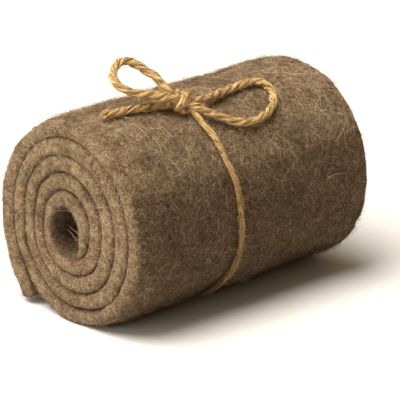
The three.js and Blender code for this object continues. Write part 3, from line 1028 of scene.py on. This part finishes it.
def hair_mesh(name, lines, widths, tones, look):
    """One mesh of tapered three-sided hairs round their middle lines."""
    count, points = lines.shape[:2]
    ahead = unit(lines[:, -1] - lines[:, 0])
    helper = np.where(np.abs(ahead[:, 2:3]) < 0.8, (0.0, 0.0, 1.0), (1.0, 0.0, 0.0))
    across = unit(np.cross(ahead, helper))
    upward = np.cross(ahead, across)
    taper = 1 - HAIR_TAPER * np.linspace(0, 1, points - 1, endpoint=False)
    thick = widths[:, None] / 2 * taper[None, :]
    rings = []
    for corner in range(HAIR_CORNERS):
        turn = 2 * math.pi * corner / HAIR_CORNERS
        out = math.cos(turn) * across + math.sin(turn) * upward
        rings.append(lines[:, :-1] + out[:, None] * thick[:, :, None])
    rings = np.stack(rings, axis=2).reshape(count, -1, 3)
    verts = np.concatenate([rings, lines[:, -1:]], axis=1)
    faces = [(2, 1, 0)]
    tip = (points - 1) * HAIR_CORNERS
    for ring in range(points - 1):
        for corner in range(HAIR_CORNERS):
            here = ring * HAIR_CORNERS + corner
            beside = ring * HAIR_CORNERS + (corner + 1) % HAIR_CORNERS
            if ring == points - 2:
                faces.append((here, beside, tip))
            else:
                faces.append((here, beside, beside + HAIR_CORNERS))
                faces.append((here, beside + HAIR_CORNERS, here + HAIR_CORNERS))
    per_hair = verts.shape[1]
    all_faces = (np.array(faces)[None] + per_hair * np.arange(count)[:, None, None]).reshape(-1, 3)
    mesh = bpy.data.meshes.new(name)
    mesh.from_pydata(verts.reshape(-1, 3).tolist(), [], all_faces.tolist())
    set_attribute(mesh, "tone", np.repeat(tones, per_hair))
    mesh.materials.append(look)
    piece = add_object(name, mesh)
    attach(piece, "root")
    print(name, count, "hairs,", len(mesh.polygons), "faces")
    return piece


print("a hair has", HAIR_CORNERS, "sides")

# %% Tool for a material of many tones
def toned_look(name, tones, roughness):
    """A material whose colour runs through the given tones by each hair's own value."""
    look, tree, shader = new_look(name, roughness)
    tone = add_node(tree, "ShaderNodeAttribute", {"attribute_name": "tone"}).outputs["Fac"]
    run = add_node(tree, "ShaderNodeValToRGB", Fac=tone)
    for index, (place, colour) in enumerate(tones):
        stop = run.color_ramp.elements[index] if index < 2 else run.color_ramp.elements.new(place)
        stop.position = place
        stop.color = colour
    tree.links.new(run.outputs[0], shader.inputs["Base Color"])
    return look


print("hairs read their tone from the attribute named tone")

# %% Where the felt's fibres grow
SKIN_DEPTH_SHARE = 0.6
SKIN_ENDS_AT = 303.0
FREE_EDGE_ANGLE = 2
CUT_END_SHARE = 0.8
CORE_STARTS_AT = 1330.0
CORE_SEEN_FROM = -0.03
STRAYS_ON_CUT_ENDS = 0.4

strip_angle = np.interp(along, middle_run, winding_angles)
on_skin = (depth > half_thickness * SKIN_DEPTH_SHARE) & (strip_angle < SKIN_ENDS_AT)
on_skin = on_skin | (strip_angle < FLAP["end_angle"] + FREE_EDGE_ANGLE)
at_cut_end = from_edge < EDGE_BEVEL * CUT_END_SHARE
in_core = (strip_angle > CORE_STARTS_AT) & (depth < 0)
on_skin_weight = np.where(on_skin & ~at_cut_end, 1.0, 0.0)
cut_end_weight = np.where(at_cut_end, 1.0, 0.0)
core_weight = np.where(in_core & (across < CORE_SEEN_FROM), 1.0, 0.0)
stray_weight = on_skin_weight + cut_end_weight * STRAYS_ON_CUT_ENDS
print("vertices on the skin:", int(on_skin_weight.sum()), "on the cut ends:", int(cut_end_weight.sum()))

# %% Grow the felt's fibres
WOOL_TONES = [
    (0.0, (0.036, 0.018, 0.006, 1)), (1.0, (0.60, 0.45, 0.275, 1)),
    (0.45, (0.140, 0.084, 0.038, 1)), (0.75, (0.29, 0.194, 0.102, 1)),
]
TONE_BY_PAINTED_LIGHT = dict(share=0.39, even_at=0.85)
ROOT_DEPTH = 0.00005
MOST_CURL = 1.0
WOOL_PATCHES = [dict(size=0.50, pitch=0.0080), dict(size=0.42, pitch=0.0028)]
wool_look = toned_look("loose wool fibres", WOOL_TONES, 0.8)


def fibre_piece(name, weight, count, length, width, lift, droop, tone, curl, seed, points=3):
    """One piece of hairs on the felt. Tone is (mean, spread) and width is (least, most)."""
    rng = np.random.default_rng(seed)
    roots, normals, lines = hairs_on(
        strip_mesh, weight, count, rng, length, lift, curl, points, droop, ROOT_DEPTH, MOST_CURL)
    # Painted light and shade: each hair is paler where the felt is painted lit and darker on its shaded side.
    paler = TONE_BY_PAINTED_LIGHT["share"] * (painted_light_at(roots, normals) - TONE_BY_PAINTED_LIGHT["even_at"])
    tones = np.clip(rng.normal(*tone, count) + paler + lumps_at(roots, WOOL_PATCHES), 0, 1)
    return hair_mesh(name, lines, rng.uniform(*width, count), tones, wool_look)


FELT_FIBRES = [
    dict(name="skin_fibres", weight=on_skin_weight, count=19500, length=(0.0016, 0.0050), curl=0.7, seed=21,
         width=(0.00007, 0.00012), lift=(0.04, 0.70), droop=0.05, tone=(0.50, 0.26)),
    dict(name="skin_pile", weight=on_skin_weight, count=19500, length=(0.0012, 0.0036), curl=0.8, seed=22,
         width=(0.00007, 0.00012), lift=(0.12, 1.90), droop=0.03, tone=(0.44, 0.26)),
    dict(name="cut_end_fibres", weight=cut_end_weight, count=19500, length=(0.0008, 0.0026), curl=0.6,
         width=(0.00007, 0.00013), lift=(0.10, 1.40), droop=0.04, tone=(0.48, 0.28), seed=23),
    dict(name="stray_hairs", weight=stray_weight, count=2500, length=(0.0040, 0.0095), curl=0.8, points=6,
         width=(0.00008, 0.00014), lift=(0.05, 0.60), droop=0.02, tone=(0.90, 0.15), seed=24),
    dict(name="core_hairs", weight=core_weight, count=260, length=(0.0030, 0.0070), curl=0.4, points=5,
         width=(0.00007, 0.00012), lift=(0.1, 0.8), droop=0.0, tone=(0.75, 0.2), seed=25),
]
for sort in FELT_FIBRES:
    fibre_piece(**sort)

# %% [markdown]
# The twine's finish
#
# Jute is golden, dry and streaky: fibres run along each ply with a slight twist of their own, with
# dark gaps between them. The plies' UV map runs along the yarn in metres, so the fibre group is
# laid nearly along it. The twine is painted darker low on the roll, as painted shade, by an attribute
# of the same name as the felt's that here only follows the height. Short hairs of jute stand off the twine
# all round.

# %% Make the twine material
JUTE_DARK = (0.10, 0.043, 0.012, 1)
JUTE_GROUND = (0.49, 0.290, 0.100, 1)
JUTE_PALE = (0.88, 0.65, 0.335, 1)
JUTE_FIBRES = dict(Width=0.00030, Slimness=13.0, Angle=0.35, Wander=0.05, Cover=0.60)
JUTE_GAPS = dict(Width=0.00038, Slimness=11.0, Angle=0.28, Wander=0.05, Cover=0.66)
JUTE_SHARES = dict(patches=0.35, fibres=0.80, gaps=0.85, shaded=0.60)
JUTE_RELIEF = 0.00035
JUTE_BRIGHT_HEIGHT = (0.045, 0.078)

twine_look, tree, shader = new_look("golden jute", 0.75)
along_yarn = add_node(tree, "ShaderNodeUVMap", {"uv_map": "yarn"}).outputs[0]
on_object = add_node(tree, "ShaderNodeTexCoord").outputs["Object"]
patchy = place_group(tree, mottle, Vector=on_object, Size=0.004, Low=0.35, High=0.65)
fine = place_group(tree, strands, Vector=along_yarn, **JUTE_FIBRES)
gaps = place_group(tree, strands, Vector=along_yarn, **JUTE_GAPS)
# Painted shade: the twine is mixed towards dark where it lies low on the roll.
painted_light = add_node(tree, "ShaderNodeAttribute", {"attribute_name": "painted_light"}).outputs["Fac"]
shaded = math_of(tree, "SUBTRACT", 1.0, painted_light)
colour = mix_colours(tree, math_of(tree, "MULTIPLY", patchy, JUTE_SHARES["patches"]), JUTE_GROUND, JUTE_PALE)
colour = mix_colours(tree, math_of(tree, "MULTIPLY", fine, JUTE_SHARES["fibres"]), colour, JUTE_PALE)
colour = mix_colours(tree, math_of(tree, "MULTIPLY", gaps, JUTE_SHARES["gaps"]), colour, JUTE_DARK)
colour = mix_colours(tree, math_of(tree, "MULTIPLY", shaded, JUTE_SHARES["shaded"]), colour, JUTE_DARK)
ridges = math_of(tree, "SUBTRACT", fine, gaps)
finish_look(tree, shader, colour, height=ridges, strength=1.0, distance=JUTE_RELIEF)
twine_pieces = [band, knot, *bow_pieces.values()]
# Painted shade by height: low on the roll the twine is marked to be painted darker.
for piece in twine_pieces:
    heights = rows_of(piece.data.vertices, "co")[:, 2]
    set_attribute(piece.data, "painted_light", ramp(heights, *JUTE_BRIGHT_HEIGHT))
    piece.data.materials.append(twine_look)
print("twine material:", len(tree.nodes), "nodes on", len(twine_pieces), "pieces")

# %% Grow the jute hairs
JUTE_TONES = [(0.0, (0.20, 0.11, 0.038, 1)), (1.0, (0.66, 0.48, 0.25, 1)), (0.5, (0.42, 0.265, 0.105, 1))]
jute_look = toned_look("loose jute fibres", JUTE_TONES, 0.7)
JUTE_HAIRS = dict(band=1300, knot=500, left_loop=700, right_loop=900, free_end=400)
JUTE_HAIR = dict(length=(0.0010, 0.0036), lift=(0.1, 1.0), curl=0.3, points=4)
JUTE_HAIR_WIDTH = (0.00006, 0.00012)
JUTE_HAIR_TONE = dict(loc=0.6, scale=0.25)
JUTE_SEED = 31
rng = np.random.default_rng(JUTE_SEED)
lines, widths, tones = [], [], []
for piece in twine_pieces:
    count = JUTE_HAIRS[piece.name]
    everywhere = np.ones(len(piece.data.vertices))
    lines.append(hairs_on(piece.data, everywhere, count, rng, **JUTE_HAIR)[2])
    widths.append(rng.uniform(*JUTE_HAIR_WIDTH, count))
    tones.append(np.clip(rng.normal(size=count, **JUTE_HAIR_TONE), 0, 1))
hair_mesh(
    "jute_hairs", np.concatenate(lines), np.concatenate(widths), np.concatenate(tones), jute_look)
